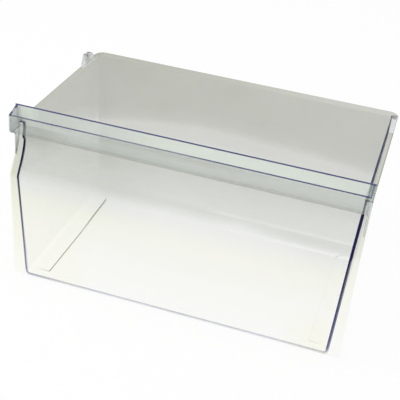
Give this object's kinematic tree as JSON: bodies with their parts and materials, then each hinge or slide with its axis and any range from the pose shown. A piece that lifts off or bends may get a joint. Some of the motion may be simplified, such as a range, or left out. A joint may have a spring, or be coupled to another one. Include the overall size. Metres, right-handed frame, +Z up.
{
  "type": "refrigerator drawer",
  "caption": "Clear open-topped refrigerator drawer: a deep drafted tub with a rim flange, rear stops and skids, closed by a curved front pane with a trough grip along its top.",
  "frame": {"origin": "middle of the base of the box around the drawer, on the surface that its skids rest on", "axes": "+X to the right seen from the front, +Y to the back, +Z up"},
  "size_m": [0.4466, 0.281, 0.2458],
  "materials": {
    "clear_tub": "clear, polished",
    "clear_front": "clear, polished"
  },
  "bodies": {
    "root": {"tub": "clear_tub", "rear_stop_left": "clear_tub", "rear_stop_right": "clear_tub", "skid_left": "clear_tub", "skid_right": "clear_tub", "front_pane": "clear_front", "grip_lip": "clear_front", "grip_end_left": "clear_front", "grip_end_right": "clear_front", "grip_gusset_left": "clear_front", "grip_gusset_right": "clear_front"}
  },
  "joints": []
}
